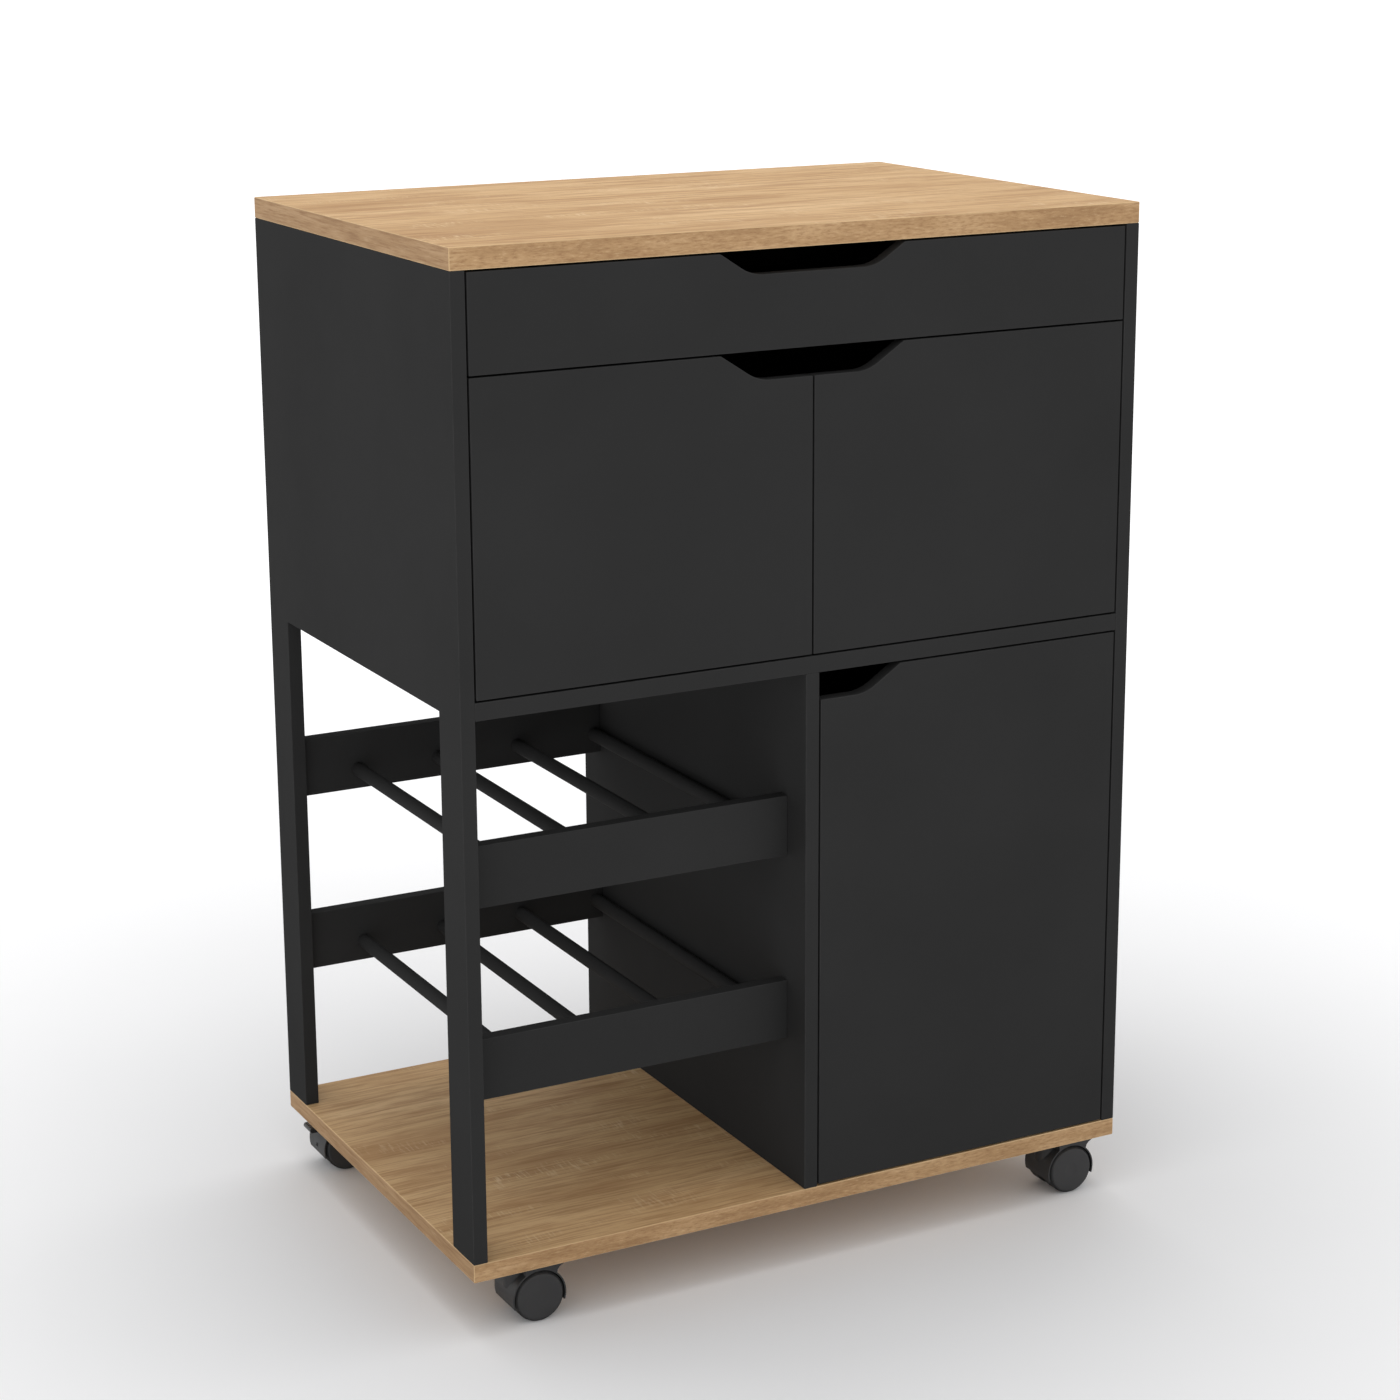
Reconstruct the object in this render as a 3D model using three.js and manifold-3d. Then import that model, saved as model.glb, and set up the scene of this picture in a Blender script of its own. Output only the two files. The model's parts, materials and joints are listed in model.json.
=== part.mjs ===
// Kitchen island cart: a dark board carcass between an oak worktop and an oak base board, on four
// swivelling twin-wheel casters. One wide drawer, a two-door cupboard under it, a tall one-door
// cupboard at lower right, and at lower left a bay that is open to the front, the left and the rear
// and holds two bottle racks.
// Frame: millimetres, origin on the floor under the middle of the footprint, +Z up, +X to the right
// of someone facing the fronts, which look along -Y.
import * as THREE from "three";
import { mergeVertices } from "three/addons/utils/BufferGeometryUtils.js";
import Module from "manifold-3d";

const wasm = await Module();
wasm.setup();

// ---- Driving dimensions ----------------------------------------------------------------------

const WIDTH = 600;
const DEPTH = 400;
const HEIGHT = 850;
const CASTER_HEIGHT = 50; // floor to the underside of the base board

const WORKTOP_THICK = 17;
const BASE_THICK = 15;
const PANEL = 12; // sides, divider, fronts, drawer walls and rack boards
const SHELF_THICK = 14;
const BACK_THICK = 5;
const BACK_INSET = 3; // rear face of the back panels, in from the rear edge
const REVEAL = 1.5; // gap round each front

const LOWER_CLEAR = 434; // base board up to the middle shelf
const UPPER_FRONT_HEIGHT = 240.5; // upper doors
const POST_WIDTH = 40; // posts of the open left side

const GRIP = { half: 80.5, radius: 35, slope: THREE.MathUtils.degToRad(33) };
const DOOR_GRIP_DEPTH = 20.9;
const DRAWER_GRIP_DEPTH = 17.2;

const DRAWER = {
  sideGap: 13, // room for a runner between drawer side and cabinet side
  length: 338,
  wallHeight: 50,
  wallDrop: 8.5, // drawer walls start this far above the front's lower edge
  bottomThick: 4,
  bottomRise: 3, // the bottom lies in a groove above the walls' lower edge
};

// Ball-bearing runner: one channel on the cabinet and a narrower one on the drawer, nested in it.
const RUNNER = {
  length: 300,
  metal: 1.2,
  rise: 2, // above the lower edge of the drawer walls
  height: 35,
  depth: 9,
  lip: 4,
  race: 4.8, // room for the balls between the two channels
  engage: 10, // how far the drawer's channel reaches towards the cabinet side
};

const HINGE = {
  edge: 14, // pin to the door's hinge-side edge
  cupInner: 10.5,
  cupWall: 0.8,
  pocketGap: 0.3,
  flangeRadius: 13.5,
  flangeThick: 1,
  cupDepth: 9,
  pinRadius: 1,
  barrelRadius: 2,
  barrelBore: 1.3,
  armThick: 2,
  barThick: 1.6,
  armWidth: 8,
  neckRadius: 16.8, // middle of the arm's bend round the door edge
  neckStart: THREE.MathUtils.degToRad(42),
  plateLength: 44,
  plateHeight: 26,
  fromEnd: 50, // hinge to the door's top or bottom edge
};

const RACK = {
  height: 50,
  bottoms: [186.5, 342.5], // undersides of the two racks
  frontSetback: 29,
  rearSetback: 20,
  rodRadius: 6,
  rodRise: 17.5, // rod axis above the underside of the boards
  rodFirst: 50, // first rod from the left side's inner face
  rodPitch: 75,
  rodCount: 4,
};

const CASTER = {
  inset: { x: 48, y: 28 }, // swivel axis in from the board edges
  trail: 12,
  wheelRadius: 21,
  wheelWidth: 15,
  wheelGap: 8, // between the two wheels
  axleRadius: 3,
  plateSide: 38,
  plateThick: 2.5,
  stemRadius: 3.5,
  stemLength: 5,
  hoodInner: 21.8,
  hoodOuter: 23,
  hoodWidth: 36,
  hoodFrom: THREE.MathUtils.degToRad(-18),
  hoodTo: THREE.MathUtils.degToRad(198),
  // Outline of the flare that spreads from the hood towards the board, measured from the axle.
  flare: [[15.4, 17.1], [16, 19.6], [18, 22], [22, 24.4]],
  bossRadius: 11,
  webThick: 6,
  hubRadius: 8,
  running: 0.3, // clearance between turning pieces
};

const BRAKE = {
  angle: THREE.MathUtils.degToRad(42), // where the lever's pivot sits round the hood
  pivotRadius: 26,
  earRadius: 3.8,
  earThick: 2.5,
  pinRadius: 1.2,
  barrelRadius: 2.6,
  width: 16,
  length: 12.5,
  thick: 5,
};

// ---- Derived levels and planes ---------------------------------------------------------------

const FRONT = -DEPTH / 2;
const REAR = DEPTH / 2;
const INNER = WIDTH / 2 - PANEL; // inner faces of the two sides
const BASE_TOP = CASTER_HEIGHT + BASE_THICK;
const SHELF_BOTTOM = BASE_TOP + LOWER_CLEAR;
const SHELF_TOP = SHELF_BOTTOM + SHELF_THICK;
const WORKTOP_BOTTOM = HEIGHT - WORKTOP_THICK;
const DOOR_BOTTOM = SHELF_TOP + REVEAL;
const DOOR_TOP = DOOR_BOTTOM + UPPER_FRONT_HEIGHT;
const DRAWER_FRONT_BOTTOM = DOOR_TOP + REVEAL;
const DRAWER_FRONT_TOP = WORKTOP_BOTTOM - REVEAL;
const FRONT_BACK_FACE = FRONT + PANEL; // back faces of the fronts
const DRAWER_WALL_BOTTOM = DRAWER_FRONT_BOTTOM + DRAWER.wallDrop;
const DRAWER_HALF = INNER - DRAWER.sideGap;
const HINGE_Y = FRONT + PANEL / 2;

// ---- Materials -------------------------------------------------------------------------------

const FINISHES = {
  oak: { color: 0xc9a87c, roughness: 0.55, metalness: 0 },
  darkBoard: { color: 0x313131, roughness: 0.6, metalness: 0 },
  hardboard: { color: 0x3a3835, roughness: 0.8, metalness: 0 },
  steel: { color: 0xb4b7ba, roughness: 0.35, metalness: 1 },
  blackNylon: { color: 0x26272a, roughness: 0.5, metalness: 0 },
};

// ---- Geometry helpers ------------------------------------------------------------------------

const AXIS_X = new THREE.Vector3(1, 0, 0);
const AXIS_Y = new THREE.Vector3(0, 1, 0);
const AXIS_Z = new THREE.Vector3(0, 0, 1);

// Drawing plane XZ, thickness towards +Y: used for fronts and for the caster's profiles.
const FACING_FRONT = new THREE.Matrix4().makeBasis(AXIS_X, AXIS_Z, AXIS_Y.clone().negate());
// Drawing plane YZ, thickness towards +X: used for the sides.
const FACING_SIDE = new THREE.Matrix4().makeBasis(AXIS_Y, AXIS_Z, AXIS_X);

function toSolid(geometry) {
  const bare = geometry.clone();
  bare.deleteAttribute("normal");
  bare.deleteAttribute("uv");
  const merged = mergeVertices(bare, 1e-4);
  return new wasm.Manifold(
    new wasm.Mesh({
      numProp: 3,
      vertProperties: merged.attributes.position.array,
      triVerts: new Uint32Array(merged.index.array),
    }),
  );
}

function toGeometry(solid) {
  const mesh = solid.getMesh();
  const geometry = new THREE.BufferGeometry();
  geometry.setAttribute("position", new THREE.BufferAttribute(mesh.vertProperties, 3));
  geometry.setIndex(new THREE.BufferAttribute(mesh.triVerts, 1));
  const flat = geometry.toNonIndexed();
  flat.computeVertexNormals();
  return flat;
}

function join(...geometries) {
  return toGeometry(geometries.map(toSolid).reduce((whole, next) => whole.add(next)));
}

function cut(geometry, ...tools) {
  return toGeometry(tools.map(toSolid).reduce((rest, tool) => rest.subtract(tool), toSolid(geometry)));
}

function block([x0, x1], [y0, y1], [z0, z1]) {
  const geometry = new THREE.BoxGeometry(x1 - x0, y1 - y0, z1 - z0);
  return geometry.translate((x0 + x1) / 2, (y0 + y1) / 2, (z0 + z1) / 2);
}

function extrude(shape, thick, curveSegments = 6) {
  return new THREE.ExtrudeGeometry(shape, { depth: thick, bevelEnabled: false, curveSegments });
}

// A profile drawn in XZ, made `thick` along Y and centred on `middle`.
function extrudeAcross(shape, thick, middle = 0, curveSegments = 6) {
  return extrude(shape, thick, curveSegments)
    .applyMatrix4(FACING_FRONT)
    .translate(0, middle + thick / 2, 0);
}

// A profile drawn in XY, made `thick` along Z and centred on z = 0.
function extrudeUp(shape, thick, curveSegments = 6) {
  return extrude(shape, thick, curveSegments).translate(0, 0, -thick / 2);
}

function cylinderAlong(axis, radius, length, [x, y, z], segments = 20) {
  const geometry = new THREE.CylinderGeometry(radius, radius, length, segments);
  if (axis === "x") geometry.rotateZ(Math.PI / 2);
  if (axis === "z") geometry.rotateX(Math.PI / 2);
  return geometry.translate(x, y, z);
}

function polar(radius, angle, [cx, cy] = [0, 0]) {
  return [cx + radius * Math.cos(angle), cy + radius * Math.sin(angle)];
}

function ringSector([cx, cy], inner, outer, from, to) {
  const shape = new THREE.Shape();
  shape.absarc(cx, cy, outer, from, to, false);
  shape.absarc(cx, cy, inner, to, from, true);
  shape.closePath();
  return shape;
}

function piece(name, geometry, finish) {
  const mesh = new THREE.Mesh(geometry, new THREE.MeshStandardMaterial(FINISHES[finish]));
  mesh.name = name;
  return mesh;
}

function group(...children) {
  const made = new THREE.Group();
  children.forEach((child) => made.add(child));
  return made;
}

// ---- Carcass ---------------------------------------------------------------------------------

function makeWorktop() {
  const across = [-WIDTH / 2, WIDTH / 2];
  return piece("worktop", block(across, [FRONT, REAR], [WORKTOP_BOTTOM, HEIGHT]), "oak");
}

function makeBaseBoard() {
  const across = [-WIDTH / 2, WIDTH / 2];
  return piece("base_board", block(across, [FRONT, REAR], [CASTER_HEIGHT, BASE_TOP]), "oak");
}

// The left side is one board whose lower half is cut away between a front and a rear post.
function makeLeftSide() {
  const outline = new THREE.Shape();
  outline.moveTo(FRONT, BASE_TOP);
  outline.lineTo(FRONT + POST_WIDTH, BASE_TOP);
  outline.lineTo(FRONT + POST_WIDTH, SHELF_BOTTOM);
  outline.lineTo(REAR - POST_WIDTH, SHELF_BOTTOM);
  outline.lineTo(REAR - POST_WIDTH, BASE_TOP);
  outline.lineTo(REAR, BASE_TOP);
  outline.lineTo(REAR, WORKTOP_BOTTOM);
  outline.lineTo(FRONT, WORKTOP_BOTTOM);
  outline.closePath();
  const geometry = extrude(outline, PANEL).applyMatrix4(FACING_SIDE).translate(-WIDTH / 2, 0, 0);
  return piece("left_side_frame", geometry, "darkBoard");
}

function makeInnerBoards() {
  const full = [-INNER, INNER];
  const right = [PANEL / 2, INNER];
  const backFaces = [REAR - BACK_INSET - BACK_THICK, REAR - BACK_INSET];
  const lower = [BASE_TOP, SHELF_BOTTOM];
  const upper = [SHELF_TOP, WORKTOP_BOTTOM];
  const deep = [FRONT, REAR];
  return group(
    piece("right_side_panel", block([INNER, WIDTH / 2], deep, [BASE_TOP, WORKTOP_BOTTOM]), "darkBoard"),
    piece("middle_shelf", block(full, deep, [SHELF_BOTTOM, SHELF_TOP]), "darkBoard"),
    piece("divider", block([-PANEL / 2, PANEL / 2], deep, lower), "darkBoard"),
    piece("upper_back_panel", block(full, backFaces, upper), "hardboard"),
    piece("lower_back_panel", block(right, backFaces, lower), "hardboard"),
  );
}

// ---- Fronts with grip cut-outs ---------------------------------------------------------------

// A front from x0 to x1 and z0 to z1 whose top edge dips round `gripX`: level at the bottom of the
// dip, then a round corner, then a straight slope up to the top edge. `sides` says which halves of
// the dip this front has: -1 left, +1 right.
function frontOutline([x0, x1], [z0, z1], gripX, depth, sides) {
  const rise = GRIP.radius * (1 - Math.cos(GRIP.slope));
  const level =
    GRIP.half - GRIP.radius * Math.sin(GRIP.slope) - (depth - rise) / Math.tan(GRIP.slope);
  const low = z1 - depth;
  const centre = low + GRIP.radius;
  const outline = new THREE.Shape();
  outline.moveTo(x0, z0);
  outline.lineTo(x1, z0);
  if (sides.includes(1)) {
    outline.lineTo(x1, z1);
    outline.lineTo(gripX + GRIP.half, z1);
    const end = -Math.PI / 2 + GRIP.slope;
    outline.absarc(gripX + level, centre, GRIP.radius, end, -Math.PI / 2, true);
  } else {
    outline.lineTo(x1, low);
  }
  if (sides.includes(-1)) {
    const end = -Math.PI / 2 - GRIP.slope;
    outline.absarc(gripX - level, centre, GRIP.radius, -Math.PI / 2, end, true);
    outline.lineTo(gripX - GRIP.half, z1);
    outline.lineTo(x0, z1);
  } else {
    outline.lineTo(x0, low);
  }
  outline.closePath();
  return outline;
}

function makeFront(name, outline, cutters = []) {
  const slab = extrudeAcross(outline, PANEL, HINGE_Y, 4);
  return piece(name, cutters.length ? cut(slab, ...cutters) : slab, "darkBoard");
}

// ---- Doors and hinges ------------------------------------------------------------------------

// Round pocket in a door's back face for a hinge cup at (x, z).
function cupPocket(x, z) {
  const depth = HINGE.cupDepth + HINGE.pocketGap;
  const radius = HINGE.cupInner + HINGE.cupWall + HINGE.pocketGap;
  return cylinderAlong("y", radius, depth + 1, [x, FRONT_BACK_FACE - depth / 2 + 0.5, z], 24);
}

// The cup sits in the door, its open side to the rear, with the hinge pin across it. Its own frame
// has the pin on the Z axis.
function makeHingeCup(name) {
  const outer = HINGE.cupInner + HINGE.cupWall;
  const backFace = PANEL / 2;
  const floor = backFace - HINGE.cupDepth;
  const rim = backFace + HINGE.flangeThick;
  const profile = [
    [0, floor],
    [outer, floor],
    [outer, backFace],
    [HINGE.flangeRadius, backFace],
    [HINGE.flangeRadius, rim],
    [HINGE.cupInner, rim],
    [HINGE.cupInner, floor + HINGE.cupWall],
    [0, floor + HINGE.cupWall],
  ].map(([r, y]) => new THREE.Vector2(r, y));
  const shell = new THREE.LatheGeometry(profile, 24);
  const pin = cylinderAlong("z", HINGE.pinRadius, 2 * HINGE.cupInner + HINGE.cupWall, [0, 0, 0], 8);
  return piece(name, join(shell, pin), "steel");
}

// The arm is fixed to the cabinet side: a barrel round the pin, a bar out of the cup, a bend round
// the door edge and a plate on the side's inner face. Same frame as the cup, cabinet side at -X.
function makeHingeArm(name) {
  const half = HINGE.armThick / 2;
  const wallX = -(HINGE.edge + REVEAL);
  const outer = HINGE.neckRadius + half;
  const neckEnd = Math.PI - Math.acos(-wallX / outer);
  const barrel = cylinderAlong("z", HINGE.barrelRadius, HINGE.armWidth, [0, 0, 0], 12);
  const bar = block(
    [HINGE.barrelRadius - 0.5, HINGE.neckRadius],
    [-HINGE.barThick / 2, HINGE.barThick / 2],
    [-HINGE.armWidth / 2, HINGE.armWidth / 2],
  ).rotateZ(HINGE.neckStart);
  const neck = extrudeUp(
    ringSector([0, 0], HINGE.neckRadius - half, outer, HINGE.neckStart - 0.045, neckEnd),
    HINGE.armWidth,
    5,
  );
  const plateY = polar(outer, neckEnd)[1] - half;
  const plate = block(
    [wallX, wallX + HINGE.armThick],
    [plateY, plateY + HINGE.plateLength],
    [-HINGE.armWidth / 2, HINGE.armWidth / 2],
  );
  const foot = block(
    [wallX, wallX + HINGE.armThick],
    [plateY + HINGE.plateLength * 0.45, plateY + HINGE.plateLength],
    [-HINGE.plateHeight / 2, HINGE.plateHeight / 2],
  );
  const bore = cylinderAlong("z", HINGE.barrelBore, HINGE.armWidth + 2, [0, 0, 0], 8);
  return piece(name, cut(join(barrel, bar, neck, plate, foot), bore), "steel");
}

// A door is hung on two hinges at its outer edge. `side` is -1 for hinges on the left and +1 on
// the right.
function makeDoor(name, [x0, x1], [z0, z1], gripX, side) {
  const pinX = side < 0 ? x0 + HINGE.edge : x1 - HINGE.edge;
  const levels = { top: z1 - HINGE.fromEnd, bottom: z0 + HINGE.fromEnd };
  const pockets = Object.values(levels).map((z) => cupPocket(pinX, z));
  const outline = frontOutline([x0, x1], [z0, z1], gripX, DOOR_GRIP_DEPTH, [side]);
  const made = group(makeFront(`${name}_door`, outline, pockets));
  for (const [level, z] of Object.entries(levels)) {
    const hinge = group(
      makeHingeCup(`${name}_${level}_hinge_cup`),
      makeHingeArm(`${name}_${level}_hinge_arm`),
    );
    hinge.position.set(pinX, HINGE_Y, z);
    hinge.scale.x = -side;
    made.add(hinge);
  }
  return made;
}

function makeDoors() {
  const edge = INNER - REVEAL;
  const upper = [DOOR_BOTTOM, DOOR_TOP];
  const lower = [BASE_TOP + REVEAL, SHELF_BOTTOM - REVEAL];
  return group(
    makeDoor("upper_left", [-edge, -REVEAL / 2], upper, 0, -1),
    makeDoor("upper_right", [REVEAL / 2, edge], upper, 0, 1),
    makeDoor("lower", [PANEL / 2 + REVEAL, edge], lower, 0, 1),
  );
}

// ---- Drawer and runners ----------------------------------------------------------------------

function makeDrawerBox() {
  const wallY = [FRONT_BACK_FACE, FRONT_BACK_FACE + DRAWER.length];
  const wallZ = [DRAWER_WALL_BOTTOM, DRAWER_WALL_BOTTOM + DRAWER.wallHeight];
  const backY = [wallY[1] - PANEL, wallY[1]];
  const inside = DRAWER_HALF - PANEL;
  const bottomZ = DRAWER_WALL_BOTTOM + DRAWER.bottomRise;
  const edge = INNER - REVEAL;
  const outline = frontOutline(
    [-edge, edge],
    [DRAWER_FRONT_BOTTOM, DRAWER_FRONT_TOP],
    0,
    DRAWER_GRIP_DEPTH,
    [-1, 1],
  );
  const bottom = block(
    [-inside, inside],
    [FRONT_BACK_FACE, backY[0]],
    [bottomZ, bottomZ + DRAWER.bottomThick],
  );
  return group(
    makeFront("drawer_front", outline),
    piece("drawer_side_left", block([-DRAWER_HALF, -inside], wallY, wallZ), "darkBoard"),
    piece("drawer_side_right", block([inside, DRAWER_HALF], wallY, wallZ), "darkBoard"),
    piece("drawer_back", block([-inside, inside], backY, wallZ), "darkBoard"),
    piece("drawer_bottom", bottom, "hardboard"),
  );
}

function makeRunnerMember(name, section) {
  const shape = new THREE.Shape(section.map(([x, z]) => new THREE.Vector2(x, z)));
  const geometry = extrudeAcross(shape, RUNNER.length, FRONT_BACK_FACE + 1 + RUNNER.length / 2);
  return piece(name, geometry.translate(0, 0, DRAWER_WALL_BOTTOM + RUNNER.rise), "steel");
}

// Both members are drawn for the left side, x measured from the side's inner face.
function makeCabinetRunner(name) {
  const { metal, height, depth, lip } = RUNNER;
  return makeRunnerMember(name, [
    [0, 0],
    [depth, 0],
    [depth, lip],
    [depth - metal, lip],
    [depth - metal, metal],
    [metal, metal],
    [metal, height - metal],
    [depth - metal, height - metal],
    [depth - metal, height - lip],
    [depth, height - lip],
    [depth, height],
    [0, height],
  ]);
}

function makeDrawerRunner(name) {
  const { metal, height, race, engage } = RUNNER;
  const side = DRAWER.sideGap;
  const low = metal + race;
  const high = height - low;
  return makeRunnerMember(name, [
    [side, low],
    [side, high],
    [side - engage, high],
    [side - engage, high - metal],
    [side - metal, high - metal],
    [side - metal, low + metal],
    [side - engage, low + metal],
    [side - engage, low],
  ]);
}

function makeRunners() {
  const made = group();
  for (const [name, side] of [["left", -1], ["right", 1]]) {
    const pair = group(
      makeCabinetRunner(`cabinet_runner_${name}`),
      makeDrawerRunner(`drawer_runner_${name}`),
    );
    pair.position.x = side * INNER;
    pair.scale.x = -side;
    made.add(pair);
  }
  return made;
}

// ---- Bottle racks ----------------------------------------------------------------------------

// A rack is a front board and a rear rail between the left side and the divider, joined by rods
// that carry the bottles.
function makeRack(name, bottom) {
  const across = [-INNER, -PANEL / 2];
  const heights = [bottom, bottom + RACK.height];
  const boardY = FRONT + RACK.frontSetback;
  const railY = REAR - RACK.rearSetback;
  const rodFrom = boardY + PANEL;
  const rodTo = railY - PANEL;
  const made = group(
    piece(`${name}_rack_front_board`, block(across, [boardY, rodFrom], heights), "darkBoard"),
    piece(`${name}_rack_rear_rail`, block(across, [rodTo, railY], heights), "darkBoard"),
  );
  for (let i = 0; i < RACK.rodCount; i++) {
    const rod = cylinderAlong("y", RACK.rodRadius, rodTo - rodFrom, [0, 0, 0]);
    const mesh = piece(`${name}_rack_rod_${i + 1}`, rod, "darkBoard");
    const x = -INNER + RACK.rodFirst + i * RACK.rodPitch;
    mesh.position.set(x, (rodFrom + rodTo) / 2, bottom + RACK.rodRise);
    made.add(mesh);
  }
  return made;
}

// ---- Casters ---------------------------------------------------------------------------------
// A caster's own frame has the swivel axis on Z, the floor at z = 0 and the wheels trailing
// towards +X, with their axle along Y.

const AXLE = [CASTER.trail, CASTER.wheelRadius];

function makeCasterPlate(name) {
  const half = CASTER.plateSide / 2;
  const low = CASTER_HEIGHT - CASTER.plateThick;
  const plate = block([-half, half], [-half, half], [low, CASTER_HEIGHT]);
  const stem = cylinderAlong(
    "z",
    CASTER.stemRadius,
    CASTER.stemLength + 1,
    [0, 0, low - (CASTER.stemLength - 1) / 2],
  );
  return piece(name, join(plate, stem), "steel");
}

// Both wheels and their axle turn as one; half the profile is drawn and mirrored.
function makeWheels(name) {
  const segments = 28;
  const radius = CASTER.wheelRadius / Math.cos(Math.PI / segments);
  const near = CASTER.wheelGap / 2;
  const far = near + CASTER.wheelWidth;
  const half = [
    [CASTER.axleRadius, near],
    [radius - 1, near],
    [radius, near + 1],
    [radius, far - 2],
    [radius - 2, far],
    [radius - 4, far],
    [radius - 5, far - 1],
    [4, far - 1],
    [3, far],
    [0, far],
  ];
  const mirrored = half.map(([r, y]) => [r, -y]).reverse();
  const profile = [...mirrored, ...half].map(([r, y]) => new THREE.Vector2(r, y));
  const mesh = piece(name, new THREE.LatheGeometry(profile, segments), "blackNylon");
  mesh.position.set(AXLE[0], 0, AXLE[1]);
  mesh.rotation.y = Math.PI / segments; // a facet, not a corner, meets the floor
  return mesh;
}

// Solid over the hood that spreads out below the board.
function makeFlare() {
  const top = CASTER_HEIGHT - CASTER.plateThick - CASTER.running - AXLE[1];
  const tip = CASTER.flare.at(-1)[0];
  const outline = [...CASTER.flare, [tip, top], [-CASTER.trail, top], [-CASTER.trail, 0]];
  const shape = new THREE.Shape(outline.map(([x, z]) => new THREE.Vector2(x + AXLE[0], z + AXLE[1])));
  return extrudeAcross(shape, CASTER.hoodWidth);
}

// One moulding: a web between the wheels, a hood over them, a boss round the stem, and a flare to
// the board or, on a caster with a brake, two ears for the lever's pin.
function makeCasterBody(name, braked) {
  const web = new THREE.Shape();
  web.absarc(...AXLE, CASTER.hoodOuter, CASTER.hoodFrom, CASTER.hoodTo, false);
  web.absarc(...AXLE, CASTER.hubRadius, Math.PI * 1.15, Math.PI * 1.85, false);
  web.closePath();
  const hood = ringSector(AXLE, CASTER.hoodInner, CASTER.hoodOuter, CASTER.hoodFrom, CASTER.hoodTo);
  const bossTop = CASTER_HEIGHT - CASTER.plateThick - CASTER.running;
  const bossLow = 27;
  const bossMiddle = (bossTop + bossLow) / 2;
  const boss = cylinderAlong("z", CASTER.bossRadius, bossTop - bossLow, [0, 0, bossMiddle]);
  const crown = braked ? boss : join(boss, makeFlare());
  const wheelRoom = cylinderAlong("y", CASTER.hoodInner, CASTER.hoodWidth, [AXLE[0], 0, AXLE[1]], 40);
  const body = join(
    cut(crown, wheelRoom),
    extrudeAcross(web, CASTER.webThick, 0, 12),
    extrudeAcross(hood, CASTER.hoodWidth, 0, 12),
    ...(braked ? makeBrakeEars() : []),
  );
  const stemDepth = CASTER.stemLength + CASTER.running;
  const stemBore = cylinderAlong(
    "z",
    CASTER.stemRadius + CASTER.running,
    stemDepth + 1,
    [0, 0, bossTop - (stemDepth - 1) / 2],
  );
  const axleBore = cylinderAlong(
    "y",
    CASTER.axleRadius + CASTER.running,
    CASTER.webThick + 2,
    [AXLE[0], 0, AXLE[1]],
  );
  return piece(name, cut(body, stemBore, axleBore), "blackNylon");
}

function makeBrakeEars() {
  const [x, z] = polar(BRAKE.pivotRadius, BRAKE.angle, AXLE);
  const boreRadius = BRAKE.pinRadius + CASTER.running;
  return [-1, 1].map((side) => {
    const y = side * (BRAKE.width / 2 + CASTER.running + BRAKE.earThick / 2);
    return cut(
      cylinderAlong("y", BRAKE.earRadius, BRAKE.earThick, [x, y, z], 16),
      cylinderAlong("y", boreRadius, BRAKE.earThick + 2, [x, y, z], 12),
    );
  });
}

// The lever lies level when released and turns down about its pin to brake.
function makeBrakeLever(name) {
  const pinLength = BRAKE.width + 2 * (BRAKE.earThick + CASTER.running);
  const halfThick = BRAKE.thick / 2;
  const paddle = new THREE.Shape();
  paddle.moveTo(0, -halfThick);
  paddle.lineTo(BRAKE.length - halfThick, -halfThick);
  paddle.absarc(BRAKE.length - halfThick, 0, halfThick, -Math.PI / 2, Math.PI / 2, false);
  paddle.lineTo(0, halfThick);
  paddle.closePath();
  const mesh = piece(
    name,
    join(
      extrudeAcross(paddle, BRAKE.width, 0, 6),
      cylinderAlong("y", BRAKE.barrelRadius, BRAKE.width, [0, 0, 0], 12),
      cylinderAlong("y", BRAKE.pinRadius, pinLength, [0, 0, 0], 8),
    ),
    "blackNylon",
  );
  const [x, z] = polar(BRAKE.pivotRadius, BRAKE.angle, AXLE);
  mesh.position.set(x, 0, z);
  return mesh;
}

// Front casters trail to the right; the rear ones, which have brakes, trail to the left.
function makeCasters() {
  const made = group();
  for (const [rowName, rowSide] of [["front", -1], ["rear", 1]]) {
    for (const [endName, endSide] of [["left", -1], ["right", 1]]) {
      const name = `${rowName}_${endName}_caster`;
      const braked = rowSide > 0;
      const caster = group(
        makeCasterPlate(`${name}_plate`),
        makeCasterBody(`${name}_body`, braked),
        makeWheels(`${name}_wheels`),
      );
      if (braked) caster.add(makeBrakeLever(`${name}_brake_lever`));
      caster.position.x = endSide * (WIDTH / 2 - CASTER.inset.x);
      caster.position.y = rowSide * (DEPTH / 2 - CASTER.inset.y);
      caster.rotation.z = braked ? Math.PI : 0;
      made.add(caster);
    }
  }
  return made;
}

// ---- Assembly --------------------------------------------------------------------------------

const cart = group(
  makeWorktop(),
  makeBaseBoard(),
  makeLeftSide(),
  makeInnerBoards(),
  makeDrawerBox(),
  makeRunners(),
  makeDoors(),
  makeRack("lower", RACK.bottoms[0]),
  makeRack("upper", RACK.bottoms[1]),
  makeCasters(),
);
cart.name = "kitchen_island_cart";

export default cart;
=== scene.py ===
"""Looks of the kitchen island cart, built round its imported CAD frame.

Rods and wheels are spun anew. Every other CAD solid is copied and gets rounded edges. Screws, the
ears of the hinge cups and the plugs in the hoods are added.
"""

import json
import math

import bmesh
import bpy
from mathutils import Matrix, Vector


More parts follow.
